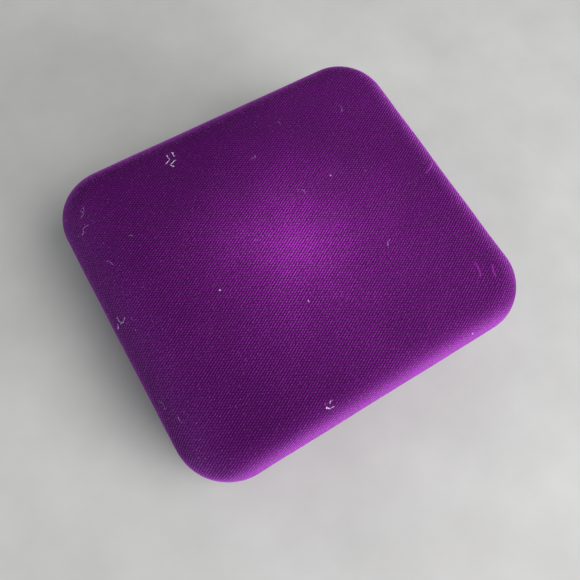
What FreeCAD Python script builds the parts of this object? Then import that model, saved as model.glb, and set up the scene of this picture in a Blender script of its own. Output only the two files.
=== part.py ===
import FreeCAD, Part
import math
import os
from FreeCAD import Vector

# Velvet-covered ring box with a crowned, hinged lid. All sizes are in millimetres.
# Frame: +Z up, +X along the long side, -Y the front, +Y the hinge side.
# Origin: centre of the face that the box rests on.

# ---- driving dimensions: the case --------------------------------------------------------
BOX_LENGTH = 94.0
BOX_DEPTH = 85.0
BOX_HEIGHT = 34.0
CORNER_RADIUS = 13.4
LEAST_CORNER_RADIUS = 5.0   # of outlines set far in from the edge
SPLIT_HEIGHT = 18.0         # height of the hinge axis and of the line where lid meets base
SEAM_GAP = 0.2              # gap between the two velvet rims when shut
CROWN_RISE = 1.6            # the lid's middle stands above its level edge
CROWN_POWER = 1.5           # how gently the crown meets the edge
TOP_EDGE_RADIUS = 6.5
BOTTOM_EDGE_RADIUS = 5.0
VELVET = 1.0                # velvet and its backing on the outside
RIM_VELVET = 0.6            # the same velvet, pulled thin over the rim
SHELL = 1.8
SHELL_FLOOR = 1.6
CAVITY_EDGE_RADIUS = 1.5

# ---- driving dimensions: underside -------------------------------------------------------
PAD_PROUD = 0.5             # the felt panel stands below the turned-under velvet
TURN_UNDER = 12.0           # how far in from the outline the velvet is turned under
FIT_GAP = 0.2               # gap round loose-fitting panels and cushions

# ---- driving dimensions: lid padding and linings -----------------------------------------
LID_FOAM_INSET = 8.0
LID_FOAM_FLOOR = 29.2       # height of the foam sheet's flat underside
LID_CEILING = 27.6
CARD = 0.8
LINING = 1.8                # satin over padded card, round the inner walls
LINING_LIP = 0.1            # the lining stops this far short of the rim
LID_LINING_TOP = 26.0
BASE_LINING_FOOT = 4.0
PUFF_DEPTH = 2.6
PUFF_EDGE_RADIUS = 2.0
SATIN = 0.4

# ---- driving dimensions: ring cushions ---------------------------------------------------
CUSHION_TOP = 14.5
CUSHION_EDGE_RADIUS = 3.5
CUSHION_VELVET = 0.8
SLIT = 0.3                  # the gap between the two cushions that grips the ring bands

# ---- driving dimensions: hinge -----------------------------------------------------------
HINGE_HALF = 30.0
HINGE_ROOM = 31.0           # half length of the slot that the barrel lies in
BARREL_RADIUS = 1.4
BARREL_ROOM = 1.7
PIN_RADIUS = 0.70
BORE_RADIUS = 0.75
PIN_HEAD_RADIUS = 1.1
PIN_HEAD = 0.4
SHEET = 0.5                 # hinge sheet steel
LEAF_HEIGHT = 8.0           # how far each leaf runs along the inner wall
KNUCKLE_GAP = 0.1           # each side of a joint between two knuckles
UPPER_KNUCKLES = [(-24.0, -10.0), (10.0, 24.0)]
CAM_CENTRES = [-17.0, 17.0]
CAM_WIDTH = 4.6
CAM_RADIUS = 2.4
CAM_FLAT = 2.1              # distance of each flat from the axis
CAM_ROOM = 2.7
OPEN_ANGLE = 100.0          # lid angle at which the second flat meets the spring
SPRING_WIDTH = 4.0
SPRING_THICKNESS = 0.3
SPRING_ROOM_WIDTH = 5.6
SPRING_TOP = 1.5            # above the hinge axis
SPRING_BEND = 2.0           # height of the sloping stretch
SPRING_BEND_DROP = 3.5      # from the hinge axis to its middle
SPRING_AIR = 0.1            # between the relaxed spring and a cam's round
SPRING_REACH = 1.0          # how far the springs' room runs past the hinge axis
RIVET_RADIUS = 0.58
RIVET_HOLE_RADIUS = 0.62
RIVET_HEAD_RADIUS = 1.3
RIVET_HEAD = 0.4
LEAF_RIVET_PLACES = [-26.0, 0.0, 26.0]
LEAF_RIVET_DROP = 5.5       # from the hinge axis along the leaf
SPRING_RIVET_DROP = 6.0

# ---- heights and depths that follow from them --------------------------------------------
FAR = 60.0                  # beyond the box on any side
CROWN_LENGTH = BOX_LENGTH + 2 * VELVET
CROWN_DEPTH = BOX_DEPTH + 2 * VELVET
CROWN_STEPS = 16
SAME = 1e-6                 # two lengths closer than this are equal
BASE_RIM = SPLIT_HEIGHT - SEAM_GAP / 2
LID_RIM = SPLIT_HEIGHT + SEAM_GAP / 2
INNER_INSET = VELVET + SHELL
LINED_INSET = INNER_INSET + LINING
FLOOR_TOP = PAD_PROUD + VELVET + SHELL_FLOOR
CUSHION_FLOOR = FLOOR_TOP + CARD
PUFF_TOP = LID_CEILING - CARD
AXIS_Y = BOX_DEPTH / 2
AXIS_Z = SPLIT_HEIGHT
WALL_INNER_Y = AXIS_Y - INNER_INSET
WALL_OUTER_Y = AXIS_Y - VELVET
LEAF_INNER_Y = WALL_INNER_Y - SHEET


# ---- shape helpers -----------------------------------------------------------------------
def block(x_range, y_range, z_range):
    """A box from three (low, high) pairs."""
    size = [high - low for low, high in (x_range, y_range, z_range)]
    return Part.makeBox(*size, Vector(x_range[0], y_range[0], z_range[0]))


def rod_x(radius, x_range, y=AXIS_Y, z=AXIS_Z):
    """A round rod along X; it lies on the hinge axis unless told otherwise."""
    length = x_range[1] - x_range[0]
    return Part.makeCylinder(radius, length, Vector(x_range[0], y, z), Vector(1, 0, 0))


def plan_face(inset, z):
    """The box's rounded-rectangle outline, moved in by inset."""
    half_x = BOX_LENGTH / 2 - inset
    half_y = BOX_DEPTH / 2 - inset
    radius = max(CORNER_RADIUS - inset, LEAST_CORNER_RADIUS)
    mid = radius * (1 - math.sqrt(0.5))
    edges = []
    for quarter in range(4):
        sign_x = 1 if quarter in (0, 3) else -1
        sign_y = 1 if quarter < 2 else -1
        side_end = Vector(sign_x * half_x, sign_y * (half_y - radius), z)
        top_end = Vector(sign_x * (half_x - radius), sign_y * half_y, z)
        corner = Vector(sign_x * (half_x - mid), sign_y * (half_y - mid), z)
        start, end = (side_end, top_end) if quarter % 2 == 0 else (top_end, side_end)
        edges.append(Part.Arc(start, corner, end).toShape())
    ends = [(edge.Vertexes[0].Point, edge.Vertexes[-1].Point) for edge in edges]
    sides = [Part.makeLine(ends[i][1], ends[(i + 1) % 4][0]) for i in range(4)]
    return Part.Face(Part.Wire(Part.__sortEdges__(edges + sides)))


def prism(inset, z_low, z_high):
    """A straight-sided block with the box's outline."""
    return plan_face(inset, z_low).extrude(Vector(0, 0, z_high - z_low))


def round_rim(shape, z, radius):
    """Round the edges of the flat face at height z."""
    rim = [face for face in shape.Faces if abs(face.CenterOfMass.z - z) < SAME]
    return shape.makeFillet(radius, rim[0].OuterWire.Edges)


def crown_height(x, y):
    """Height of the lid's top: level round the edge, highest in the middle."""
    share_x = 1 - (2 * x / CROWN_LENGTH) ** 2
    share_y = 1 - (2 * y / CROWN_DEPTH) ** 2
    return BOX_HEIGHT - CROWN_RISE + CROWN_RISE * (share_x * share_y) ** CROWN_POWER


def crown_face(drop):
    """The crown as one smooth surface, lowered by drop."""
    shares = [i / CROWN_STEPS - 0.5 for i in range(CROWN_STEPS + 1)]
    rows = []
    for i in shares:
        places = [(CROWN_LENGTH * i, CROWN_DEPTH * j) for j in shares]
        rows.append([Vector(x, y, crown_height(x, y) - drop) for x, y in places])
    surface = Part.BSplineSurface()
    surface.interpolate(rows)
    return surface.toShape()


def crowned(inset, z_low):
    """The lid's outer form: upright sides, rounded top edge and a shallow crown."""
    under_crown = crown_face(inset).extrude(Vector(0, 0, -BOX_HEIGHT))
    body = prism(inset, z_low, BOX_HEIGHT).common(under_crown)
    top = [face for face in body.Faces if isinstance(face.Surface, Part.BSplineSurface)]
    return body.makeFillet(TOP_EDGE_RADIUS - inset, top[0].OuterWire.Edges)


def footed(inset, z_high):
    """The base's outer form: upright sides and a rounded bottom edge."""
    foot = PAD_PROUD + inset
    return round_rim(prism(inset, foot, z_high), foot, BOTTOM_EDGE_RADIUS - inset)


def cut_all(shape, *tools):
    for tool in tools:
        shape = shape.cut(tool)
    return shape


def save(name, shape):
    """Write one sub-part, first checking that it is made of sound closed solids."""
    if not shape.isValid() or not shape.Solids:
        raise ValueError(name + " is not a sound solid")
    clean = shape.Solids[0] if len(shape.Solids) == 1 else Part.makeCompound(shape.Solids)
    clean.exportStep("parts/" + name + ".step")
    print(name, len(shape.Solids), "solid(s)", round(shape.Volume / 1000, 3), "cm3")


# ---- room for the hinge ------------------------------------------------------------------
def barrel_slot():
    """The slot along the back rims for the barrel and the two leaf flanges."""
    slot = rod_x(BARREL_ROOM, (-HINGE_ROOM, HINGE_ROOM))
    flange = SHEET + KNUCKLE_GAP + SEAM_GAP / 2
    flanges = block((-HINGE_ROOM, HINGE_ROOM), (LEAF_INNER_Y, AXIS_Y + VELVET),
                    (AXIS_Z - flange, AXIS_Z + flange))
    return slot.fuse(flanges)


def cam_slots(radius):
    """Wider room on the axis at each cam."""
    half = SPRING_ROOM_WIDTH / 2
    return Part.makeCompound([rod_x(radius, (x - half, x + half)) for x in CAM_CENTRES])


def spring_windows(z_range, y_range=(LEAF_INNER_Y - SHEET, AXIS_Y - BARREL_RADIUS)):
    """Rectangular room for the two snap springs."""
    half = SPRING_ROOM_WIDTH / 2
    return Part.makeCompound([block((x - half, x + half), y_range, z_range) for x in CAM_CENTRES])


def rivet_holes(places, z):
    length = BOX_DEPTH / 2
    return Part.makeCompound([
        Part.makeCylinder(RIVET_HOLE_RADIUS, length, Vector(x, AXIS_Y - length / 2, z), Vector(0, 1, 0))
        for x in places])


SPRING_FOOT_Z = AXIS_Z - LEAF_HEIGHT + SHEET
SPRING_BEND_Z = AXIS_Z - SPRING_BEND_DROP
LOWER_RIVET_Z = AXIS_Z - LEAF_RIVET_DROP
UPPER_RIVET_Z = AXIS_Z + LEAF_RIVET_DROP
SPRING_RIVET_Z = AXIS_Z - SPRING_RIVET_DROP
BASE_SPRING_ROOM = (SPRING_BEND_Z - SPRING_BEND / 2 - KNUCKLE_GAP, AXIS_Z + SPRING_REACH)
LID_SPRING_ROOM = (AXIS_Z - SPRING_REACH, AXIS_Z + SPRING_TOP + SHEET)
LOWER_HOLES = rivet_holes(LEAF_RIVET_PLACES, LOWER_RIVET_Z)
UPPER_HOLES = rivet_holes(LEAF_RIVET_PLACES, UPPER_RIVET_Z)
SPRING_HOLES = rivet_holes(CAM_CENTRES, SPRING_RIVET_Z)


# ---- base ----------------------------------------------------------------------------------
def base_shell():
    cavity = round_rim(prism(INNER_INSET, FLOOR_TOP, FAR), FLOOR_TOP, CAVITY_EDGE_RADIUS / 2)
    spring_pocket_y = (WALL_INNER_Y - SHEET, AXIS_Y - CAM_FLAT)
    shell = footed(VELVET, BASE_RIM - RIM_VELVET).cut(cavity)
    return cut_all(shell, barrel_slot(), cam_slots(CAM_ROOM), LOWER_HOLES, SPRING_HOLES,
                   spring_windows(BASE_SPRING_ROOM, spring_pocket_y))


def base_velvet_cover():
    inner = footed(VELVET, BASE_RIM - RIM_VELVET)
    mouth = prism(INNER_INSET, FLOOR_TOP, FAR)
    underside = prism(TURN_UNDER, 0.0, FLOOR_TOP)
    return cut_all(footed(0.0, BASE_RIM), inner, mouth, underside, barrel_slot(), cam_slots(CAM_ROOM))


def bottom_pad():
    return prism(TURN_UNDER + FIT_GAP, 0.0, PAD_PROUD + VELVET)


def hinge_pocket(z_range):
    """The recess in a lining's back that covers the leaf, rivet heads and springs."""
    skin = AXIS_Y - LINED_INSET + SHEET
    return block((-HINGE_ROOM, HINGE_ROOM), (skin, AXIS_Y), z_range)


def base_lining_band():
    top = BASE_RIM - LINING_LIP
    band = prism(INNER_INSET, BASE_LINING_FOOT, top).cut(prism(LINED_INSET, 0.0, FAR))
    return band.cut(hinge_pocket((AXIS_Z - LEAF_HEIGHT - SHEET, FAR)))


def cushion_card():
    return prism(LINED_INSET + FIT_GAP, FLOOR_TOP, CUSHION_FLOOR)


def cushion_form(inset, side):
    """One half of the ring cushion: side is -1 for the front half, 1 for the back half."""
    near = SLIT / 2 + inset
    half = block((-FAR, FAR), (near, FAR), (-FAR, FAR)) if side > 0 else \
        block((-FAR, FAR), (-FAR, -near), (-FAR, FAR))
    top = CUSHION_TOP - inset
    body = prism(LINED_INSET + FIT_GAP + inset, CUSHION_FLOOR, top).common(half)
    return round_rim(body, top, CUSHION_EDGE_RADIUS - inset)


def cushion_cover(side):
    return cushion_form(0.0, side).cut(cushion_form(CUSHION_VELVET, side))


# ---- lid -----------------------------------------------------------------------------------
def lid_foam_pad():
    """Foam under the velvet that gives the lid its soft crown."""
    sheet = prism(LID_FOAM_INSET, LID_FOAM_FLOOR, FAR)
    return sheet.common(crowned(VELVET, LID_RIM))


def lid_shell():
    cavity = round_rim(prism(INNER_INSET, 0.0, LID_CEILING), LID_CEILING, CAVITY_EDGE_RADIUS)
    foam_pocket = prism(LID_FOAM_INSET, LID_FOAM_FLOOR, FAR)
    shell = crowned(VELVET, LID_RIM + RIM_VELVET)
    return cut_all(shell, cavity, foam_pocket, barrel_slot(), UPPER_HOLES,
                   spring_windows(LID_SPRING_ROOM))


def lid_velvet_cover():
    inner = crowned(VELVET, LID_RIM + RIM_VELVET)
    mouth = prism(INNER_INSET, 0.0, LID_RIM + SHELL)
    return cut_all(crowned(0.0, LID_RIM), inner, mouth, barrel_slot())


def lid_lining_band():
    foot = LID_RIM + LINING_LIP
    band = prism(INNER_INSET, foot, LID_LINING_TOP).cut(prism(LINED_INSET, 0.0, FAR))
    return band.cut(hinge_pocket((0.0, FAR)))


def lid_puff_card():
    return prism(LINED_INSET + FIT_GAP, PUFF_TOP, LID_CEILING)


def puff_form(inset):
    foot = PUFF_TOP - PUFF_DEPTH + inset
    body = prism(LINED_INSET + 2 * FIT_GAP + inset, foot, PUFF_TOP)
    return round_rim(body, foot, PUFF_EDGE_RADIUS - inset)


def lid_puff_satin():
    return puff_form(0.0).cut(puff_form(SATIN))


# ---- hinge ---------------------------------------------------------------------------------
def leaf_sheet(side):
    """A leaf's bent sheet: a flange over the rim and a plate down the inner wall.

    side is -1 for the lower leaf and 1 for the upper one."""
    near = AXIS_Z + side * SEAM_GAP / 2
    flange_z = sorted((near, near + side * SHEET))
    plate_z = sorted((near, AXIS_Z + side * LEAF_HEIGHT))
    across = (-HINGE_HALF, HINGE_HALF)
    flange = block(across, (LEAF_INNER_Y, AXIS_Y), flange_z)
    plate = block(across, (LEAF_INNER_Y, WALL_INNER_Y), plate_z)
    return flange.fuse(plate)


def lower_knuckles():
    """The stretches of the barrel between and outside the upper knuckles."""
    stops = [-HINGE_HALF]
    for low, high in UPPER_KNUCKLES:
        stops += [low - KNUCKLE_GAP, high + KNUCKLE_GAP]
    stops.append(HINGE_HALF)
    return list(zip(stops[0::2], stops[1::2]))


def barrel(stretches, radius):
    return Part.makeCompound([rod_x(radius, stretch) for stretch in stretches])


def leaf(side, own, other):
    """A leaf with its own knuckles, cut away round the other leaf's."""
    wide_other = [(low - KNUCKLE_GAP, high + KNUCKLE_GAP) for low, high in other]
    bore = rod_x(BORE_RADIUS, (-FAR, FAR))
    sheet = leaf_sheet(side).cut(barrel(wide_other, BARREL_ROOM))
    behind = block((-FAR, FAR), (AXIS_Y, FAR), (0.0, FAR))
    body = sheet.cut(behind).fuse([rod_x(BARREL_RADIUS, stretch) for stretch in own])
    return body.cut(bore)


def hinge_leaf_lower():
    body = leaf(-1, lower_knuckles(), UPPER_KNUCKLES)
    return cut_all(body, spring_windows(BASE_SPRING_ROOM), LOWER_HOLES, SPRING_HOLES)


def cam(x):
    """A lobe on an upper knuckle with one flat for shut and one for open."""
    half = CAM_WIDTH / 2
    lobe = rod_x(CAM_RADIUS, (x - half, x + half))
    reach = 2 * CAM_RADIUS
    for angle in (0.0, OPEN_ANGLE):
        flat = block((x - CAM_WIDTH, x + CAM_WIDTH), (-CAM_FLAT - reach, -CAM_FLAT), (-reach, reach))
        flat.rotate(Vector(0, 0, 0), Vector(1, 0, 0), angle)
        flat.translate(Vector(0, AXIS_Y, AXIS_Z))
        lobe = lobe.cut(flat)
    behind = block((-FAR, FAR), (AXIS_Y + BARREL_RADIUS, FAR), (0.0, FAR))
    above = block((-FAR, FAR), (AXIS_Y - BARREL_RADIUS, FAR), (AXIS_Z, FAR))
    return lobe.cut(behind).cut(above)


def hinge_leaf_upper():
    body = leaf(1, UPPER_KNUCKLES, lower_knuckles())
    body = body.cut(spring_windows(LID_SPRING_ROOM)).cut(UPPER_HOLES)
    body = body.fuse([cam(x) for x in CAM_CENTRES])
    return body.cut(rod_x(BORE_RADIUS, (-FAR, FAR)))


def hinge_pin():
    pin = rod_x(PIN_RADIUS, (-HINGE_HALF - PIN_HEAD, HINGE_HALF + PIN_HEAD))
    heads = [rod_x(PIN_HEAD_RADIUS, (-HINGE_HALF - PIN_HEAD, -HINGE_HALF)),
             rod_x(PIN_HEAD_RADIUS, (HINGE_HALF, HINGE_HALF + PIN_HEAD))]
    return pin.fuse(heads)


def rivets(places, z, seat_y):
    """Round-headed rivets through the back wall; seat_y is what their heads bear on."""
    group = []
    for x in places:
        head = Part.makeCylinder(RIVET_HEAD_RADIUS, RIVET_HEAD, Vector(x, seat_y, z), Vector(0, -1, 0))
        rim = [edge for edge in head.Edges if abs(edge.CenterOfMass.y - seat_y + RIVET_HEAD) < SAME]
        head = head.makeFillet(RIVET_HEAD / 2, rim[:1])
        shank = Part.makeCylinder(RIVET_RADIUS, WALL_OUTER_Y - seat_y, Vector(x, seat_y, z), Vector(0, 1, 0))
        group.append(head.fuse(shank))
    return Part.makeCompound(group)


def snap_spring(x):
    """A strip of spring steel: flat on the leaf, then bent back to bear on the cam."""
    foot_y = LEAF_INNER_Y
    tip_y = AXIS_Y - CAM_RADIUS - SPRING_AIR
    outline = [(foot_y, SPRING_FOOT_Z), (foot_y, SPRING_BEND_Z - SPRING_BEND / 2),
               (tip_y, SPRING_BEND_Z + SPRING_BEND / 2),
               (tip_y, AXIS_Z + SPRING_TOP)]
    inner = [(y - SPRING_THICKNESS, z) for y, z in reversed(outline)]
    corners = [Vector(x - SPRING_WIDTH / 2, y, z) for y, z in outline + inner]
    face = Part.Face(Part.makePolygon(corners + corners[:1]))
    strip = face.extrude(Vector(SPRING_WIDTH, 0, 0))
    return strip.cut(SPRING_HOLES)


# ---- the sub-parts -------------------------------------------------------------------------
FRONT = -1
BACK = 1
SPRING_SEAT_Y = LEAF_INNER_Y - SPRING_THICKNESS

SUBPARTS = {
    "base_shell": base_shell(),
    "base_velvet_cover": base_velvet_cover(),
    "bottom_pad": bottom_pad(),
    "base_lining_band": base_lining_band(),
    "cushion_card": cushion_card(),
    "ring_cushion_front_foam": cushion_form(CUSHION_VELVET, FRONT),
    "ring_cushion_front_cover": cushion_cover(FRONT),
    "ring_cushion_back_foam": cushion_form(CUSHION_VELVET, BACK),
    "ring_cushion_back_cover": cushion_cover(BACK),
    "hinge_leaf_lower": hinge_leaf_lower(),
    "hinge_pin": hinge_pin(),
    "hinge_rivets_lower": rivets(LEAF_RIVET_PLACES, LOWER_RIVET_Z, LEAF_INNER_Y),
    "snap_spring_left": snap_spring(CAM_CENTRES[0]),
    "snap_spring_right": snap_spring(CAM_CENTRES[1]),
    "snap_spring_rivets": rivets(CAM_CENTRES, SPRING_RIVET_Z, SPRING_SEAT_Y),
    "lid_shell": lid_shell(),
    "lid_foam_pad": lid_foam_pad(),
    "lid_velvet_cover": lid_velvet_cover(),
    "lid_lining_band": lid_lining_band(),
    "lid_puff_card": lid_puff_card(),
    "lid_puff_foam": puff_form(SATIN),
    "lid_puff_satin": lid_puff_satin(),
    "hinge_leaf_upper": hinge_leaf_upper(),
    "hinge_rivets_upper": rivets(LEAF_RIVET_PLACES, UPPER_RIVET_Z, LEAF_INNER_Y),
}

os.makedirs("parts", exist_ok=True)
for name, shape in SUBPARTS.items():
    save(name, shape)
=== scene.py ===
import math
import bpy
from mathutils import Matrix, Vector, noise

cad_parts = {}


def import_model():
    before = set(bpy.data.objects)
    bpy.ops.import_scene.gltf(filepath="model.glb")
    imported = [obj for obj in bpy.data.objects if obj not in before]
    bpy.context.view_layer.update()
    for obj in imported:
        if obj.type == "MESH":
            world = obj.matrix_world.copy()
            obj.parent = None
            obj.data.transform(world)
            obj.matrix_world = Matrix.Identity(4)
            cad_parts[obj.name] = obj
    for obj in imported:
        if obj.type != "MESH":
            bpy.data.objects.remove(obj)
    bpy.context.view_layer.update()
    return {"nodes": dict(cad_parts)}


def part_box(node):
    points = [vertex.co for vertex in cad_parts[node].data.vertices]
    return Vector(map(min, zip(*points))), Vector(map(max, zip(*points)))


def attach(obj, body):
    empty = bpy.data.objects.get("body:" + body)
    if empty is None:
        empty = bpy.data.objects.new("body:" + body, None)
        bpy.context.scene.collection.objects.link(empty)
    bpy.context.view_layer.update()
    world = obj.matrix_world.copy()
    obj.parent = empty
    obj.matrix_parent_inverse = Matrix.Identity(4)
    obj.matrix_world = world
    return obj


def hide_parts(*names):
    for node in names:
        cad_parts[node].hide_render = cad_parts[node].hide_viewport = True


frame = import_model()

# ---- sizes, in metres; the box's outer ones come from the frame ------------------------------
MM = 0.001
LID_LOW, LID_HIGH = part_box("lid_velvet_cover")
BASE_LOW, BASE_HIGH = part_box("base_velvet_cover")
PAD_LOW, PAD_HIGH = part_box("bottom_pad")
HALF_X, HALF_Y, LID_TOP = LID_HIGH
LID_RIM = LID_LOW.z
BASE_RIM = BASE_HIGH.z
BASE_FOOT = BASE_LOW.z
CORNER_RADIUS = 13.4 * MM
TOP_EDGE_RADIUS = 6.5 * MM
BOTTOM_EDGE_RADIUS = 5.0 * MM
CROWN_RISE = 1.6 * MM       # the lid's middle stands above its level edge
CROWN_POWER = 1.5
SKIN = 1.0 * MM             # thickness of the outer velvet
INNER_SKIN = 0.97 * MM      # where its inner face runs, just clear of the shell
WALL = 2.8 * MM             # velvet and shell together
TURN_UNDER = 12.0 * MM
EVEN_FROM = 5.0 * MM        # nearer the rim than this, the wall makes way for the hinge
RIM_ROUND = 0.9 * MM        # the velvet's turn over the outer edge of the rim
RIM_FLAT = 1.6              # the rim is level from this many times RIM_ROUND inwards
LIP = 0.25 * MM             # the velvet's thickness where it runs in behind the lining
LIP_ROUND = 0.6 * MM
LIP_TUCK = 1.6 * MM
LIP_UNDER = 0.58 * MM       # from the rim to the velvet's underside over the shell
HINGE_HALF = 30.9 * MM      # half length of the slot for the barrel
HINGE_SLOT = 1.6 * MM       # how far each rim stands back from the barrel
CAM_CENTRES = (-17 * MM, 17 * MM)
CAM_HALF = 2.8 * MM
CAM_SLOT = 1.0 * MM
BACK_FACING = 0.99          # a normal's Y from which the wall counts as the straight back
UNEVEN = 0.12 * MM          # the outer velvet's slight unevenness
UNEVEN_SIZE = 11 * MM       # how broad it is
PAD_EDGE_ROUND = 0.35 * MM
PAD_GAP = 0.25 * MM         # between the felt and the turned-under velvet
PAD_RINGS = (8 * MM, 3 * MM)                   # how far in the felt's two inner rings lie
LINING = 1.8 * MM           # the satin band round the inner walls
LINING_GAP = 0.3 * MM
LINING_EDGE_RADIUS = 0.55 * MM
LINING_HOLLOW = 0.25 * MM   # how far the band's face draws back between its edges
LINING_TO_RIM = 0.15 * MM   # the bands stop short of the rims
BASE_LINING_FOOT = 4.0 * MM
LID_LINING_TOP = 26.0 * MM
HINGE_POCKET = 1.35 * MM    # how far the bands' backs stand clear of the hinge leaves
CUSHION_SPARE = 0.5 * MM    # room left for a cushion to swell, at its outer walls and its top
CUSHION_AT_SLIT = 0.1 * MM  # and at the ring slit
CUSHION_RADII = (8.2 * MM, 2.0 * MM)           # in plan: at the box's corners and at the slit's ends
CUSHION_EDGE = 3.4 * MM     # how far the top edges roll over
CUSHION_FOOT_EDGE = 0.8 * MM
CUSHION_DOME = 1.5 * MM
CUSHION_BEND = 1.8 * MM     # insets up to this keep the plan's shape
PUFF_RADIUS = 8.4 * MM
PUFF_EDGE = 0.7 * MM
PUFF_DOME = 1.0 * MM
PUFF_BEND = 3 * MM
PUFF_DROP = 1.3 * MM        # from the panel's lowest point up to its edge
BACK_RING = 5 * MM          # how far in the last ring of a padded piece's flat back lies
SIM_SCALE = 20.0            # cloth is simulated at twenty times its size
SIM_FRAMES = 20
CLOTH = {"quality": 6, "mass": 0.25, "tension_stiffness": 18, "compression_stiffness": 18,
         "shear_stiffness": 8, "bending_stiffness": 0.35, "use_pressure": True}
PRESSURE = 3.0
CUSHION_VOXEL = 1.0 * MM
PUFF_VOXEL = 0.9 * MM

# ---- camera, lights and floor, in metres and watts ---------------------------------------------
CAMERA_PLACE = Vector((-0.03558, -0.04243, 0.1586))
CAMERA_RIGHT = Vector((0.85674, -0.51157, 0.06547))
CAMERA_FORWARD = Vector((0.21505, 0.23898, -0.94691))
SENSOR_WIDTH = 36.0         # this and the focal length are in millimetres
FOCAL_LENGTH = 35.07
NEAREST, FARTHEST = 0.005, 20.0
LIGHT_TARGET = (0, 0, 0.02)
# (name, place, size, power, colour)
AREA_LIGHTS = (
    ("window", (0.55, -0.75, 1.35), (1.1, 0.8), 16.8, (1.0, 0.98, 0.95)),
    ("low_window", (0.50, -1.1, 0.30), (1.1, 0.5), 23.0, (0.96, 0.97, 1.0)),
)
SKY_COLOUR = (0.93, 0.96, 1.0, 1.0)
SKY_STRENGTH = 0.40
FLOOR_HALF = 2.5
FLOOR_COLOURS = ((0.46, 0.46, 0.445, 1.0), (0.53, 0.53, 0.515, 1.0))


# ---- outlines and lofting -------------------------------------------------------------------
class Plan:
    """A rounded rectangle as (point, outward normal) pairs, anticlockwise from its +X side.

    An inset is exact as far as bend; further in, the outline is scaled towards its middle."""

    def __init__(self, low, high, radii, bend, step=0.8 * MM, arc_steps=22):
        self.middle = (Vector(low) + Vector(high)) / 2
        self.reach = min(high[0] - low[0], high[1] - low[1]) / 2
        self.bend = bend
        self.pairs = []
        back_right, back_left, front_left, front_right = radii
        corners = [Vector((high[0] - back_right, high[1] - back_right)),
                   Vector((low[0] + back_left, high[1] - back_left)),
                   Vector((low[0] + front_left, low[1] + front_left)),
                   Vector((high[0] - front_right, low[1] + front_right))]
        for quarter in range(4):
            centre = corners[quarter]
            for i in range(arc_steps):
                angle = math.pi / 2 * (quarter + i / arc_steps)
                normal = Vector((math.cos(angle), math.sin(angle)))
                self.pairs.append((centre + normal * radii[quarter], normal))
            following = (quarter + 1) % 4
            angle = math.pi / 2 * (quarter + 1)
            normal = Vector((round(math.cos(angle)), round(math.sin(angle))))
            start = centre + normal * radii[quarter]
            end = corners[following] + normal * radii[following]
            count = round((end - start).length / step)
            self.pairs += [(start.lerp(end, i / count), normal) for i in range(count)]

    def place(self, point, normal, inset):
        moved = point - normal * min(inset, self.bend)
        if inset > self.bend:
            share = (self.reach - inset) / (self.reach - self.bend)
            moved = self.middle + (moved - self.middle) * share
        return moved


BOX_PLAN = Plan((-HALF_X, -HALF_Y), (HALF_X, HALF_Y), [CORNER_RADIUS] * 4, TOP_EDGE_RADIUS)


def level(z, up=0):
    """A height that moves back from the hinge barrel: up is 1 in the lid and -1 in the base."""
    return lambda place, slot: z + up * slot


def crown_height(x, y):
    share = (1 - (x / (HALF_X + SKIN)) ** 2) * (1 - (y / (HALF_Y + SKIN)) ** 2)
    return LID_TOP - CROWN_RISE + CROWN_RISE * max(share, 0.0) ** CROWN_POWER


def crown(drop):
    """A height below the lid's crowned top."""
    return lambda place, slot: crown_height(place.x, place.y) - drop


def between(start, end, share):
    return lambda place, slot: start(place, slot) * (1 - share) + end(place, slot) * share


def hinge_slot(point, normal, with_cams):
    """How far a rim stands back from the hinge at this place on the outline."""
    if normal.y < BACK_FACING or abs(point.x) > HINGE_HALF:
        return 0.0
    at_cam = with_cams and any(abs(point.x - x) < CAM_HALF for x in CAM_CENTRES)
    return HINGE_SLOT + (CAM_SLOT if at_cam else 0.0)


def build(name, vertices, faces, cloth=None):
    mesh = bpy.data.meshes.new(name)
    mesh.from_pydata(vertices, [], faces)
    mesh.validate()
    mesh.polygons.foreach_set("use_smooth", [True] * len(mesh.polygons))
    if cloth:
        layer = mesh.attributes.new("cloth", "FLOAT_VECTOR", "POINT")
        layer.data.foreach_set("vector", [number for place in cloth for number in place])
    piece = bpy.data.objects.new(name, mesh)
    bpy.context.scene.collection.objects.link(piece)
    return piece


def loft(name, stations, closed=False, plan=BOX_PLAN, cloth_start=0.0, with_cams=False, uneven=0.0):
    """A skin through rings round a plan.

    A station is (inset, height, run): inset a number or a function of the hinge slot, height a function
    of place and slot, and run the length of cloth from cloth_start in, or None where it lies flat.
    A loft that isn't closed on itself is closed by a point at each end."""
    vertices, cloth = [], []
    for inset, height, run in stations:
        for point, normal in plan.pairs:
            slot = hinge_slot(point, normal, with_cams)
            depth = inset(slot) if callable(inset) else inset
            place = plan.place(point, normal, depth)
            spot = Vector((place.x, place.y, height(place, slot)))
            sideways = min(1.0, max(0.0, 1 - depth / plan.bend))
            wave = uneven * noise.noise(spot / UNEVEN_SIZE)
            spot += Vector((normal.x * sideways, normal.y * sideways, 1 - sideways)) * wave
            vertices.append(spot)
            lie = place if run is None else point + normal * (run - cloth_start)
            cloth.append((lie.x, lie.y, 0.0))
    count = len(plan.pairs)
    rings = len(stations)
    faces = []
    for ring in range(rings if closed else rings - 1):
        near, far = ring * count, (ring + 1) % rings * count
        faces += [(near + i, far + i, far + (i + 1) % count, near + (i + 1) % count)
                  for i in range(count)]
    if not closed:
        for ring in (0, rings - 1):
            pole = len(vertices)
            vertices.append(sum(vertices[ring * count:(ring + 1) * count], Vector()) / count)
            cloth.append((0.0, 0.0, 0.0))
            fan = [(ring * count + i, ring * count + (i + 1) % count, pole) for i in range(count)]
            faces += fan if ring == 0 else [face[::-1] for face in fan]
    return build(name, vertices, faces, cloth)


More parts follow.
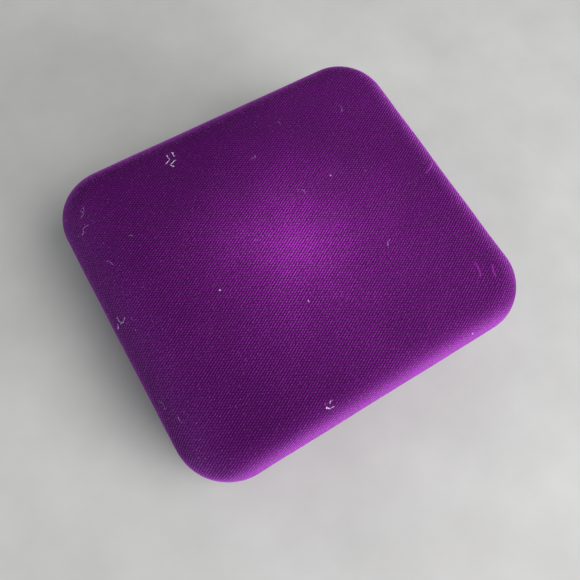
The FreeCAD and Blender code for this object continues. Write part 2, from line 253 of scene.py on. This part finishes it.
def arc(centre, radius, start, end, steps):
    """Profile points (inset, height) on an arc, its angles in degrees from the inset axis."""
    turns = [math.radians(start + (end - start) * i / steps) for i in range(steps + 1)]
    return [(centre[0] + radius * math.cos(a), centre[1] + radius * math.sin(a)) for a in turns]


def with_runs(profile, up, run, step=1):
    """Stations for fixed profile points; the cloth's length from the first adds to run, step way."""
    stations, previous = [], profile[0]
    for point in profile:
        run += step * math.dist(point, previous)
        previous = point
        stations.append((point[0], level(point[1], up), run))
    return stations


def flat_stations(profile):
    return [(inset, level(z), None) for inset, z in profile]


def rim_profile(rim, up):
    """Over the rim, in behind the lining and back along the shell: up is 1 in the lid, -1 in the base."""
    inner = WALL + LIP
    turn = arc((RIM_ROUND, rim + up * RIM_ROUND), RIM_ROUND, 180, 180 + up * 90, 6)
    over = arc((inner - LIP_ROUND, rim + up * LIP_ROUND), LIP_ROUND, -up * 90, 0, 5)
    tuck = [(inner, rim + up * LIP_TUCK), (WALL, rim + up * LIP_TUCK)]
    under = [(WALL, rim + up * LIP_UNDER), (INNER_SKIN, rim + up * LIP_UNDER)]
    return turn + [(RIM_ROUND * RIM_FLAT, rim)] + over + tuck + under


def steps(count, start=1):
    """Even shares of the way, up to 1."""
    return [i / count for i in range(start, count + 1)]


def lid_velvet():
    edge = TOP_EDGE_RADIUS
    inner = edge - SKIN
    rim = rim_profile(LID_RIM, 1)
    wall_foot = level(rim[0][1], 1)
    even = level(LID_RIM + EVEN_FROM)
    stations = [(HALF_Y - (HALF_Y - edge) * share, crown(0), None) for share in steps(46)]
    for share in steps(12):
        turn = math.pi / 2 * share
        stations.append((edge * (1 - math.sin(turn)), crown(edge * (1 - math.cos(turn))), edge * turn))
    run = edge * math.pi / 2
    upper = LID_TOP - edge - LID_RIM - EVEN_FROM
    lower = LID_RIM + EVEN_FROM - rim[0][1]
    stations += [(0.0, between(crown(edge), even, share), run + upper * share) for share in steps(6)]
    stations += [(0.0, between(even, wall_foot, share), run + upper + lower * share)
                 for share in steps(4)[:-1]]
    stations += with_runs(rim, 1, run + upper + lower)
    last = stations[-1][2]
    under = level(rim[-1][1], 1)
    stations += [(INNER_SKIN, between(under, crown(edge), share), last) for share in steps(5)]
    for share in steps(6):
        turn = math.pi / 2 * share
        inset = INNER_SKIN + (edge - INNER_SKIN) * (1 - math.cos(turn))
        stations.append((inset, crown(edge - inner * math.sin(turn)), last))
    stations += [(edge + (HALF_Y - edge) * share, crown(SKIN), last) for share in steps(12)[:-1]]
    return loft("lid_velvet", stations, cloth_start=edge, uneven=UNEVEN)


def base_velvet():
    edge = BOTTOM_EDGE_RADIUS
    rim = rim_profile(BASE_RIM, -1)
    wall_top = level(rim[0][1], -1)
    wall = rim[0][1] - BASE_FOOT - edge
    foot = level(BASE_FOOT)
    inner_foot = level(BASE_FOOT + SKIN)
    under_run = wall + edge * math.pi / 2
    stations = []
    for share in steps(6, 0)[:-1]:
        inset = TURN_UNDER + (edge - TURN_UNDER) * share
        stations.append((inset, foot, under_run + inset - edge))
    for share in steps(10, 0)[:-1]:
        turn = math.pi / 2 * share
        height = level(BASE_FOOT + edge * (1 - math.cos(turn)))
        stations.append((edge * (1 - math.sin(turn)), height, under_run - edge * turn))
    even = level(BASE_RIM - EVEN_FROM)
    upper = EVEN_FROM + rim[0][1] - BASE_RIM
    lower = wall - upper
    stations += [(0.0, between(level(BASE_FOOT + edge), even, share), upper + lower * (1 - share))
                 for share in steps(5, 0)]
    stations += [(0.0, between(even, wall_top, share), upper * (1 - share)) for share in steps(4)[:-1]]
    stations += with_runs(rim, -1, 0, step=-1)
    last = under_run
    under = level(rim[-1][1], -1)
    for share in steps(5):
        stations.append((INNER_SKIN, between(under, level(BASE_FOOT + edge), share), last))
    for share in steps(6):
        turn = math.pi / 2 * share
        inset = INNER_SKIN + (edge - INNER_SKIN) * (1 - math.cos(turn))
        stations.append((inset, level(BASE_FOOT + edge - (edge - SKIN) * math.sin(turn)), last))
    stations.append((TURN_UNDER - 0.1 * MM, inner_foot, last))
    stations.append((TURN_UNDER, level(BASE_FOOT + SKIN / 2), last))
    return loft("base_velvet", stations, closed=True, with_cams=True, uneven=UNEVEN)


def felt_pad():
    """The panel under the box, its edges slightly rounded by wear."""
    inset = TURN_UNDER + PAD_GAP
    low, high = PAD_LOW.z, PAD_HIGH.z
    edge = arc((inset + PAD_EDGE_ROUND, low + PAD_EDGE_ROUND), PAD_EDGE_ROUND, 270, 180, 4)
    inner, outer = (inset + ring for ring in PAD_RINGS)
    profile = [(inner, low), (outer, low)] + edge + [(inset, high), (outer, high)]
    return loft("felt_pad", flat_stations(profile))


# ---- padded pieces, by cloth simulation ---------------------------------------------------------
def evaluated(piece):
    """The piece's mesh with its modifiers applied."""
    graph = bpy.context.evaluated_depsgraph_get()
    return bpy.data.meshes.new_from_object(piece.evaluated_get(graph))


def take_mesh(piece, mesh):
    old = piece.data
    mesh.name = piece.name
    piece.modifiers.clear()
    piece.data = mesh
    bpy.data.meshes.remove(old)
    piece.data.polygons.foreach_set("use_smooth", [True] * len(piece.data.polygons))


def swell(piece, voxel, pinned, slack, most, sink):
    """Remesh the piece evenly and blow it up as cloth.

    Before the last smoothing, no point is more than most from its start, a level face no more than sink
    inside it, and an upright side not inside it at all."""
    piece.data.transform(Matrix.Scale(SIM_SCALE, 4))
    remesh = piece.modifiers.new("remesh", "REMESH")
    remesh.mode = "VOXEL"
    remesh.voxel_size = voxel * SIM_SCALE
    take_mesh(piece, evaluated(piece))
    group = piece.vertex_groups.new(name="pinned")
    for vertex in piece.data.vertices:
        weight = pinned(vertex.co / SIM_SCALE)
        if weight > 0:
            group.add([vertex.index], weight, "REPLACE")
    start = [(vertex.co.copy(), vertex.normal.copy()) for vertex in piece.data.vertices]
    cloth = piece.modifiers.new("cloth", "CLOTH")
    cloth.settings.vertex_group_mass = group.name
    for setting, value in CLOTH.items():
        setattr(cloth.settings, setting, value)
    cloth.settings.uniform_pressure_force = PRESSURE
    cloth.settings.shrink_min = -slack
    cloth.settings.effector_weights.gravity = 0
    cloth.point_cache.frame_end = SIM_FRAMES
    for frame_number in range(1, SIM_FRAMES + 1):
        bpy.context.scene.frame_set(frame_number)
    take_mesh(piece, evaluated(piece))
    for vertex, (origin, normal) in zip(piece.data.vertices, start):
        move = (vertex.co - origin) / SIM_SCALE
        move += normal * max(0.0, -sink * abs(normal.z) - move.dot(normal))
        if move.length > most:
            move *= most / move.length
        vertex.co = origin + move * SIM_SCALE
    smooth = piece.modifiers.new("smooth", "SUBSURF")
    smooth.levels = 1
    take_mesh(piece, evaluated(piece))
    piece.vertex_groups.clear()
    piece.data.transform(Matrix.Scale(1 / SIM_SCALE, 4))
    bpy.context.scene.frame_set(1)


def lay_cloth(piece):
    """Give a simulated piece its cloth coordinates, which are its own places."""
    places = [number for vertex in piece.data.vertices for number in vertex.co]
    piece.data.attributes.new("cloth", "FLOAT_VECTOR", "POINT").data.foreach_set("vector", places)


def clamp(piece, low, high):
    """Keep a piece's points inside a box."""
    for vertex in piece.data.vertices:
        vertex.co = [min(max(value, least), most) for value, least, most in zip(vertex.co, low, high)]


def cushion(name, node, side):
    """One half of the ring cushion, its inner top edge rolled down into the ring slit."""
    low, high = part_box(node)
    outer, inner = CUSHION_RADII
    if side < 0:
        front, back, radii = CUSHION_SPARE, CUSHION_AT_SLIT, [inner, inner, outer, outer]
    else:
        front, back, radii = CUSHION_AT_SLIT, CUSHION_SPARE, [outer, outer, inner, inner]
    plan = Plan((low.x + CUSHION_SPARE, low.y + front), (high.x - CUSHION_SPARE, high.y - back), radii,
                CUSHION_BEND)
    edge, foot_edge = CUSHION_EDGE, CUSHION_FOOT_EDGE
    shoulder = high.z - CUSHION_DOME - CUSHION_SPARE
    profile = [(plan.reach + (edge - plan.reach) * share, shoulder + CUSHION_DOME * (1 - share ** 3))
               for share in steps(16)[:-1]]
    profile += arc((edge, shoulder - edge), edge, 90, 180, 8)
    profile += arc((foot_edge, low.z + foot_edge), foot_edge, 180, 270, 3) + [(edge + BACK_RING, low.z)]
    piece = loft(name, flat_stations(profile), plan=plan)
    swell(piece, CUSHION_VOXEL, lambda place: 1.0 if place.z < low.z + foot_edge else 0.0,
          slack=0.03, most=1.6 * MM, sink=0.0)
    clamp(piece, low, high)
    lay_cloth(piece)
    return piece


def satin_puff():
    """The puffed satin panel in the lid's ceiling, domed a little and gathered round its edge."""
    low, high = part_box("lid_puff_satin")
    plan = Plan(low[:2], high[:2], [PUFF_RADIUS] * 4, PUFF_BEND)
    edge = PUFF_EDGE
    rim = low.z + PUFF_DROP
    profile = [(plan.reach * (1 - share), rim - PUFF_DOME * (1 - share ** 4)) for share in steps(20)[:-1]]
    profile += arc((edge, rim + edge), edge, 270, 180, 4)
    profile += [(0.0, high.z), (edge + BACK_RING, high.z)]
    piece = loft("satin_puff", flat_stations(profile), plan=plan)
    swell(piece, PUFF_VOXEL, lambda place: 1.0 if place.z > high.z - PUFF_VOXEL else 0.0,
          slack=0.10, most=1.5 * MM, sink=0.7 * MM)
    for vertex in piece.data.vertices:
        vertex.co.z = min(max(vertex.co.z, low.z), high.z)
    lay_cloth(piece)
    return piece


def lining_band(name, foot, top):
    """A padded satin band round the inner walls; its back is hollowed where it passes the hinge."""
    inner = WALL + LINING
    outer = WALL + LINING_GAP
    edge = LINING_EDGE_RADIUS
    middle = inner - edge
    face = top - foot - 2 * edge

    def back(slot):
        return outer + (HINGE_POCKET if slot else 0.0)

    def shoulder(slot):
        return max(back(slot), middle - edge * 0.6)

    profile = [(back, foot + edge), (back, top - edge), (shoulder, top)]
    profile += arc((middle, top - edge), edge, 90, 0, 4)
    profile += [(inner + LINING_HOLLOW * math.sin(math.pi * share), top - edge - face * share)
                for share in steps(8)[:-1]]
    profile += arc((middle, foot + edge), edge, 0, -90, 4) + [(shoulder, foot)]
    return loft(name, flat_stations(profile), closed=True)


# ---- materials --------------------------------------------------------------------------------
class Nodes:
    """A small helper that adds shader nodes and links them."""

    MIX_FACTOR, MIX_FIRST, MIX_SECOND, MIX_RESULT = 0, 6, 7, 2      # a colour Mix node's sockets

    def __init__(self, name):
        self.material = bpy.data.materials.new(name)
        self.material.use_nodes = True
        self.tree = self.material.node_tree
        self.shader = self.tree.nodes["Principled BSDF"]

    def add(self, kind, *inputs, **settings):
        node = self.tree.nodes.new("ShaderNode" + kind)
        for name, value in settings.items():
            setattr(node, name, value)
        for socket, value in zip(node.inputs, inputs):
            self.put(socket, value)
        return node

    def put(self, socket, value):
        if value is None:
            return
        if isinstance(value, bpy.types.NodeSocket):
            self.tree.links.new(value, socket)
        else:
            socket.default_value = value

    def math(self, operation, *inputs):
        return self.add("Math", *inputs, operation=operation).outputs[0]

    def noise(self, place, scale, detail=2.0, roughness=0.5):
        node = self.add("TexNoise")
        self.put(node.inputs["Vector"], place)
        node.inputs["Scale"].default_value = scale
        node.inputs["Detail"].default_value = detail
        node.inputs["Roughness"].default_value = roughness
        return node.outputs["Fac"]

    def mix(self, factor, first, second):
        node = self.add("Mix", data_type="RGBA")
        self.put(node.inputs[self.MIX_FACTOR], factor)
        self.put(node.inputs[self.MIX_FIRST], first)
        self.put(node.inputs[self.MIX_SECOND], second)
        return node.outputs[self.MIX_RESULT]

    def scaled(self, colour, amount):
        node = self.add("VectorMath", colour, operation="SCALE")
        self.put(node.inputs["Scale"], amount)
        return node.outputs[0]

    def remap(self, value, low, high, to_low=0.0, to_high=1.0, smooth=False):
        node = self.add("MapRange", value, low, high, to_low, to_high)
        node.interpolation_type = "SMOOTHSTEP" if smooth else "LINEAR"
        return node.outputs[0]

    def bump(self, height, distance, strength=1.0):
        node = self.add("Bump")
        self.put(node.inputs["Height"], height)
        node.inputs["Distance"].default_value = distance
        node.inputs["Strength"].default_value = strength
        self.tree.links.new(node.outputs[0], self.shader.inputs["Normal"])

    def set(self, **values):
        for name, value in values.items():
            self.put(self.shader.inputs[name.replace("_", " ")], value)


# ---- velvet: lengths in millimetres of cloth, brightness as the share of lit pile tips -----------
PER_METRE = 1000.0
NOISE_SPAN = (0.3, 0.7)     # between which most of a noise's values lie
RIB_WAVE = (0.819, -1.468, 0.0)        # cycles per millimetre: the ribs run 29 degrees above +X
CROSS_WAVE = (0.819, 1.468, 0.0)
RIB_SHARPNESS = 1.5
RIB_RANGE = (0.06, 0.94)
CROSS_RANGE = (0.5, 1.35)
TUFT_NOISE = ((4.0, 0.2, 2.0), (1.9, 0.25, 1.75))       # (cycles per millimetre, least, most)
TUFT_GAIN = 2.05
GAP_SHADE = (0.62, 1.7)     # the deep colour's strength beside the lowest and the highest tufts
STRAY_SIZE = 0.9            # cycles per millimetre of the straying
YARN_SHIFT = 0.28           # how far the tufts stray from the rib
WOBBLE = 1.6                # how far the lint's outlines stray
PATCH_SIZE = 0.06           # cycles per millimetre
PATCH_RANGE = (0.78, 1.22)
PILE_DEEP = (0.043, 0.0006, 0.058)             # looking down between the tufts
PILE_BRIGHT = (0.50, 0.046, 0.585, 1.0)        # the tips of the tufts
PAINTED_SHEEN_COLOUR = (0.60, 0.20, 0.82, 1.0)        # the lilac of the painted sheen on the lid's edges
FIBRE_COLOUR = (0.50, 0.24, 0.60, 1.0)
LINT_COLOUR = (0.72, 0.62, 0.82, 1.0)
HAIR_COLOUR = (0.52, 0.30, 0.62, 1.0)
DUST_COLOUR = (0.17, 0.052, 0.30, 1.0)
SHEEN_COLOUR = (0.80, 0.15, 1.0, 1.0)
SHEEN_ROUGHNESS = 0.25
BRIGHTNESS = 0.098          # of the base and the cushions
LID_BRIGHTNESS = 0.066      # of the lid before what follows is added
PAINTED_LIGHT_SLOPE = (0.0007, -0.0005, 0.0)               # painted light and shade: what each millimetre along X and Y adds, lighter towards the front right where the light falls
WORN = 0.62                 # what rubbing adds in the middle of the crown
WORN_REACH = 11.0           # over which the rubbed crown fades
WORN_CORE = (0.0, 0.0, 3.0)                    # off the plane, so that the middle is no sharp point
# painted sheen along the lid's edges, strongest at the front and right, which face the light: (outward
# direction, from, fully at, how much)
PAINTED_EDGE_SHEEN = (
    ((0.0, -1.0, 0.0), 37.6, 44.4, 0.25), ((1.0, 0.0, 0.0), 39.0, 50.0, 0.26),
    ((0.0, 1.0, 0.0), 37.5, 43.0, 0.13), ((-1.0, 0.0, 0.0), 39.0, 45.0, 0.045),
)
# how sharply the painted edge sheen rises, and how far it tints the tips lilac
PAINTED_SHEEN_SHARPNESS = 1.5
PAINTED_SHEEN_HEIGHTS = (20.5 * MM, 27.5 * MM)        # between which the painted sheen fades down the walls
PAINTED_SHEEN_TINT = 0.5
# patches where the lid's top is made lighter or darker: (x, y, reach, change)
TOP_PATCHES = ((-4, 29, 17, -0.040), (-24, -36, 14, -0.030), (-7, -21, 10, 0.018), (32, -25, 16, 0.012))
# scattered dots: (spacing, radius as a share of it, share of places left empty, strength)
FIBRES = (0.7, 0.17, 0.35, 0.26)
FLECKS = (9.0, 0.035, 0.6, 0.8)
GRAINS = (1.0, 0.14, 0.5, 0.55)
DUSTY_SIDE = (-1.0, 0.0, 0.0)
DUSTY_FROM, DUSTY_FULL = 34.0, 44.0
DUST = 0.35
DUST_NOISE = (1.6, 4.0, 0.8)                   # this and the next: (cycles per millimetre, detail, roughness)
BREAK_NOISE = (2.6, 2.0, 0.6)                  # breaks up the lint's outlines
DUST_SPAN = (0.45, 0.72)
BREAK_SPAN = (0.36, 0.5)
# lint caught on the lid: (middle x, y, turn in degrees, length, bow)
LINT = (
    (-16, 34, 60, 2.6, 0.4), (-15, 33, 10, 1.6, -0.3), (-14, 35, 95, 1.5, 0.3), (-16, 32, 130, 1.0, 0.1),
    (-44, 2, 20, 2.0, 0.4), (-45, 3, 100, 1.5, -0.3), (-46, 2, 60, 1.0, 0.2),
    (-13.6, -38.4, 150, 1.0, 0.1), (-12.4, -37.6, 30, 0.7, 0.1), (-13.9, -37.4, 80, 0.5, 0.0),
    (-12.6, -38.9, 10, 0.7, 0.1), (-5, -15.5, 70, 0.6, 0.0), (-21.5, -2.7, 120, 0.5, 0.0),
)
HAIRS = (
    (-40, 31, 55, 2.8, 0.5), (-42, 27, 40, 3.2, -0.8), (-40, 16, 110, 2.0, 0.4), (-33, 20, 140, 1.6, 0.4),
    (9, 10, 120, 2.0, 0.6), (31, 26, 70, 2.6, 0.5), (3, 24, 20, 1.8, 0.4), (14, 30, 100, 1.6, 0.3),
    (-45, -19, 95, 2.4, 0.4), (-43, -24, 100, 2.2, -0.4), (20, -12, 30, 1.8, -0.3), (-8, 4, 160, 1.6, 0.4),
)
CREASES = ((36, -29, 75, 4.0, 0.3), (39, -31, 70, 3.5, -0.3), (42, 0, 25, 5.0, 0.3))
CREASE_WIDTH = 0.35
CREASE_TINT = 0.30
CREASE_DEPTH = 2.0          # in heights of a tuft
# (lines, width, strength, colour)
FLUFF = ((LINT, 0.15, 0.85, LINT_COLOUR), (HAIRS, 0.09, 0.6, HAIR_COLOUR))
PILE_RELIEF = 0.12 * MM
GLOSS_VARIATION = 0.06      # of the plainer materials


class Pile(Nodes):
    """Pile velvet on a fine diagonal rib, laid out by the "cloth" coordinates in millimetres."""

    def vector(self, operation, *inputs, output="Vector"):
        return self.add("VectorMath", *inputs, operation=operation).outputs[output]

    def wave(self, place, direction):
        along = self.vector("DOT_PRODUCT", place, direction, output="Value")
        return self.math("SINE", self.math("MULTIPLY", along, 2 * math.pi))

    def stroke(self, place, mark, width):
        """A mask for one slightly curved line: mark is its middle, turn, length and bow."""
        x, y, turn, length, bow = mark
        local = self.add("Mapping", vector_type="TEXTURE")
        self.put(local.inputs["Vector"], place)
        local.inputs["Location"].default_value = (x, y, 0)
        local.inputs["Rotation"].default_value = (0, 0, math.radians(turn))
        local.inputs["Scale"].default_value = (length / 2, 1, 1)
        along, across, _ = self.add("SeparateXYZ", local.outputs[0]).outputs
        curve = self.math("MULTIPLY", self.math("MULTIPLY", along, along), bow)
        off = self.math("ABSOLUTE", self.math("SUBTRACT", across, curve))
        return self.math("MULTIPLY", self.remap(off, width, width * 0.4),
                         self.remap(self.math("ABSOLUTE", along), 1.0, 0.85))

    def strokes(self, place, marks, width):
        total = 0.0
        for mark in marks:
            total = self.math("MAXIMUM", self.stroke(place, mark, width), total)
        return total

    def specks(self, place, spacing, size, rare):
        """Scattered round dots, rare being the share of cells left empty."""
        cells = self.add("TexVoronoi")
        self.put(cells.inputs["Vector"], place)
        cells.inputs["Scale"].default_value = 1 / spacing
        chosen = self.math("GREATER_THAN", self.add("SeparateXYZ", cells.outputs["Color"]).outputs[0], rare)
        return self.math("MULTIPLY", chosen, self.remap(cells.outputs["Distance"], size, size * 0.5))

    def dotted(self, colour, place, dots, shade, where=None):
        spacing, size, rare, strength = dots
        mask = self.specks(place, spacing, size, rare)
        if where is not None:
            mask = self.math("MULTIPLY", where, mask)
        return self.mix(self.math("MULTIPLY", mask, strength), colour, shade)

    def patchy(self, place, scale, detail, roughness, least, most):
        """Noise stretched from least to most."""
        return self.remap(self.noise(place, scale, detail, roughness), *NOISE_SPAN, least, most)


def tufts(n, place, yarn):
    """How far the pile stands up, from 0 in the gaps."""
    rib = n.math("POWER", n.remap(n.wave(yarn, RIB_WAVE), -1.0, 1.0), RIB_SHARPNESS)
    rib = n.remap(rib, 0.0, 1.0, *RIB_RANGE)
    tuft = n.math("MULTIPLY", rib, n.remap(n.wave(yarn, CROSS_WAVE), -1.0, 1.0, *CROSS_RANGE))
    for scale, least, most in TUFT_NOISE:
        tuft = n.math("MULTIPLY", tuft, n.patchy(place, scale, 2.0, 0.7, least, most))
    return tuft


def paint_edge_sheen(n, place):
    """The painted sheen along the lid's edges, brightest where they face the light."""
    height = n.add("SeparateXYZ", n.add("TexCoord").outputs["Object"]).outputs["Z"]
    above = n.remap(height, *PAINTED_SHEEN_HEIGHTS)
    edge_sheen = 0.0
    for outward, start, full, sheen_amount in PAINTED_EDGE_SHEEN:
        reach = n.vector("DOT_PRODUCT", place, outward, output="Value")
        onset = n.math("POWER", n.remap(reach, start, full, smooth=True), PAINTED_SHEEN_SHARPNESS)
        edge_sheen = n.math("ADD", edge_sheen, n.math("MULTIPLY", n.math("MULTIPLY", onset, above), sheen_amount))
    return edge_sheen


def lid_brightness(n, place, wobble, edge_sheen):
    """The lid's painted light and shade (lighter towards the front right), its worn crown, its lighter and
    darker patches and the painted sheen on its edges together.
    """
    # painted light and shade: the lid lighter towards the front right, where the light falls
    lie = n.vector("DOT_PRODUCT", place, PAINTED_LIGHT_SLOPE, output="Value")
    radius = n.vector("LENGTH", n.vector("ADD", wobble, WORN_CORE), output="Value")
    fade = n.math("EXPONENT", n.math("DIVIDE", radius, -WORN_REACH))
    amount = n.math("ADD", n.math("ADD", lie, LID_BRIGHTNESS), n.math("MULTIPLY", fade, WORN))
    # patches where the lid's top is made lighter or darker
    for x, y, reach, change in TOP_PATCHES:
        away = n.math("DIVIDE", n.vector("DISTANCE", place, (x, y, 0.0), output="Value"), reach)
        near = n.math("EXPONENT", n.math("MULTIPLY", n.math("MULTIPLY", away, away), -1.0))
        amount = n.math("ADD", amount, n.math("MULTIPLY", near, change))
    return n.math("ADD", amount, edge_sheen)


def lid_marks(n, colour, place, wobble, edge_sheen, creases):
    """The lid's colour with the painted sheen's lilac on its edges, the dust on its left side, creases, lint
    and hairs.
    """
    # painted sheen: the lid's edges tinted lilac where they face the light
    colour = n.mix(n.math("MULTIPLY", edge_sheen, PAINTED_SHEEN_TINT), colour, PAINTED_SHEEN_COLOUR)
    side = n.vector("DOT_PRODUCT", place, DUSTY_SIDE, output="Value")
    side = n.remap(side, DUSTY_FROM, DUSTY_FULL)
    dust = n.remap(n.noise(place, *DUST_NOISE), *DUST_SPAN)
    colour = n.mix(n.math("MULTIPLY", n.math("MULTIPLY", side, dust), DUST), colour, DUST_COLOUR)
    colour = n.dotted(colour, wobble, GRAINS, HAIR_COLOUR, where=side)
    colour = n.mix(n.math("MULTIPLY", creases, CREASE_TINT), colour, PILE_BRIGHT)
    broken = n.remap(n.noise(place, *BREAK_NOISE), *BREAK_SPAN)
    for marks, width, strength, shade in FLUFF:
        mask = n.math("MULTIPLY", n.strokes(wobble, marks, width), strength)
        colour = n.mix(n.math("MULTIPLY", mask, broken), colour, shade)
    return colour


def velvet_material(name, on_lid=False):
    """The lid's velvet also has its worn crown, painted light and shade across it, painted sheen on its
    edges, dust, lint and creases.
    """
    n = Pile(name)
    place = n.vector("MULTIPLY", n.add("Attribute", attribute_name="cloth").outputs["Vector"],
                     (PER_METRE,) * 3)
    jitter = n.add("TexNoise")
    n.put(jitter.inputs["Vector"], place)
    jitter.inputs["Scale"].default_value = STRAY_SIZE
    jitter.inputs["Detail"].default_value = 3.0
    shift = n.vector("SUBTRACT", jitter.outputs["Color"], (0.5, 0.5, 0.5))
    yarn = n.vector("ADD", place, n.vector("MULTIPLY", shift, (YARN_SHIFT,) * 3))
    wobble = n.vector("ADD", place, n.vector("MULTIPLY", shift, (WOBBLE,) * 3))

    tuft = tufts(n, place, yarn)
    amount = BRIGHTNESS
    if on_lid:
        # painted sheen along the lid's edges, brighter where they face the light
        edge_sheen = paint_edge_sheen(n, place)
        amount = lid_brightness(n, place, wobble, edge_sheen)
    amount = n.math("MULTIPLY", amount, n.patchy(place, PATCH_SIZE, 3.0, 0.6, *PATCH_RANGE))
    light = n.math("MULTIPLY", amount, n.math("MULTIPLY", tuft, TUFT_GAIN))
    deep = n.scaled(PILE_DEEP, n.remap(tuft, 0.0, 1.0, *GAP_SHADE))
    colour = n.mix(light, deep, PILE_BRIGHT)
    colour = n.dotted(colour, yarn, FIBRES, FIBRE_COLOUR)
    colour = n.dotted(colour, place, FLECKS, LINT_COLOUR)
    height = tuft
    if on_lid:
        creases = n.strokes(place, CREASES, CREASE_WIDTH)
        colour = lid_marks(n, colour, place, wobble, edge_sheen, creases)
        height = n.math("SUBTRACT", tuft, n.math("MULTIPLY", creases, CREASE_DEPTH))
    n.set(Base_Color=colour, Roughness=0.95, Specular_IOR_Level=0.1, Sheen_Weight=1.0,
          Sheen_Roughness=SHEEN_ROUGHNESS, Sheen_Tint=SHEEN_COLOUR)
    n.bump(height, PILE_RELIEF, 0.6)
    return n.material


def plain(name, colour, roughness, grain_scale, grain_depth, variation=0.12, metallic=0.0):
    """A finely grained material for the pieces that show little."""
    n = Nodes(name)
    grain = n.noise(n.add("TexCoord").outputs["Object"], grain_scale, 5.0, 0.65)
    shade = n.remap(grain, *NOISE_SPAN, 1 - variation, 1 + variation)
    gloss = n.remap(grain, *NOISE_SPAN, roughness - GLOSS_VARIATION, roughness + GLOSS_VARIATION)
    n.set(Base_Color=n.scaled(colour, shade), Metallic=metallic, Roughness=gloss)
    n.bump(grain, grain_depth)
    return n.material


def cover(piece, material):
    piece.data.materials.clear()
    piece.data.materials.append(material)


# ---- pieces -----------------------------------------------------------------------------------
lid_cover = lid_velvet()
cover(lid_cover, velvet_material("velvet_lid", on_lid=True))
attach(lid_cover, "lid")
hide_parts("lid_velvet_cover", "lid_foam_pad")

base_cover = base_velvet()
cover(base_cover, velvet_material("velvet_base"))
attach(base_cover, "base")
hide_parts("base_velvet_cover")

pad = felt_pad()
cover(pad, plain("felt", (0.035, 0.02, 0.04), roughness=0.95, grain_scale=900, grain_depth=0.1 * MM,
                 variation=0.35))
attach(pad, "base")
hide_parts("bottom_pad")

short_pile = velvet_material("velvet_cushion")
for name, node, side in (("ring_cushion_front", "ring_cushion_front_cover", -1),
                         ("ring_cushion_back", "ring_cushion_back_cover", 1)):
    piece = cushion(name, node, side)
    cover(piece, short_pile)
    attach(piece, "base")
    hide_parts(node, node.replace("cover", "foam"))

satin = plain("satin", (0.47, 0.425, 0.355), roughness=0.34, grain_scale=700, grain_depth=0.02 * MM,
              variation=0.05)
puff = satin_puff()
cover(puff, satin)
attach(puff, "lid")
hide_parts("lid_puff_satin", "lid_puff_foam")

for name, node, body, foot, top in (
        ("base_lining", "base_lining_band", "base", BASE_LINING_FOOT, BASE_RIM - LINING_TO_RIM),
        ("lid_lining", "lid_lining_band", "lid", LID_RIM + LINING_TO_RIM, LID_LINING_TOP)):
    band = lining_band(name, foot, top)
    cover(band, satin)
    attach(band, body)
    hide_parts(node)

steel = plain("nickel_plate", (0.62, 0.61, 0.60), roughness=0.3, grain_scale=1500,
              grain_depth=0.004 * MM, variation=0.08, metallic=1.0)
brass = plain("brass", (0.70, 0.52, 0.24), roughness=0.32, grain_scale=1500,
              grain_depth=0.004 * MM, variation=0.1, metallic=1.0)
plastic = plain("shell_plastic", (0.05, 0.03, 0.055), roughness=0.55, grain_scale=1200,
                grain_depth=0.02 * MM)
card = plain("card", (0.42, 0.36, 0.28), roughness=0.9, grain_scale=1500, grain_depth=0.02 * MM)
looks = {
    "hinge_leaf_lower": steel, "hinge_leaf_upper": steel, "hinge_pin": steel,
    "snap_spring_left": steel, "snap_spring_right": steel,
    "hinge_rivets_lower": brass, "hinge_rivets_upper": brass, "snap_spring_rivets": brass,
    "base_shell": plastic, "lid_shell": plastic, "cushion_card": card, "lid_puff_card": card,
}
for node, material in looks.items():
    cover(frame["nodes"][node], material)


# ---- floor, light and camera ------------------------------------------------------------------
def floor():
    half = FLOOR_HALF
    corners = [(-half, -half, 0), (half, -half, 0), (half, half, 0), (-half, half, 0)]
    sheet = build("floor", corners, [(0, 1, 2, 3)])
    n = Nodes("floor")
    mottle = n.noise(n.add("TexCoord").outputs["Object"], 30, 4.0, 0.6)
    n.set(Base_Color=n.mix(n.remap(mottle, *NOISE_SPAN), *FLOOR_COLOURS), Roughness=0.6)
    cover(sheet, n.material)


def area_light(name, place, size, power, colour):
    data = bpy.data.lights.new(name, "AREA")
    data.shape = "RECTANGLE"
    data.size, data.size_y = size
    data.energy = power
    data.color = colour
    light = bpy.data.objects.new(name, data)
    bpy.context.scene.collection.objects.link(light)
    light.location = place
    light.rotation_euler = (Vector(LIGHT_TARGET) - Vector(place)).to_track_quat("-Z", "Y").to_euler()


def world():
    sky = bpy.data.worlds.new("studio")
    sky.use_nodes = True
    background = sky.node_tree.nodes["Background"]
    background.inputs["Color"].default_value = SKY_COLOUR
    background.inputs["Strength"].default_value = SKY_STRENGTH
    bpy.context.scene.world = sky


def camera():
    data = bpy.data.cameras.new("camera")
    data.sensor_width = SENSOR_WIDTH
    data.lens = FOCAL_LENGTH
    data.clip_start, data.clip_end = NEAREST, FARTHEST
    eye = bpy.data.objects.new("camera", data)
    right = CAMERA_RIGHT.normalized()
    back = -CAMERA_FORWARD
    back = (back - right * back.dot(right)).normalized()
    up = back.cross(right)
    turn = Matrix((right, up, back)).transposed().to_4x4()
    eye.matrix_world = Matrix.Translation(CAMERA_PLACE) @ turn
    bpy.context.scene.collection.objects.link(eye)
    bpy.context.scene.camera = eye


floor()
world()
for settings in AREA_LIGHTS:
    area_light(*settings)
camera()
bpy.context.scene.view_settings.view_transform = "Standard"
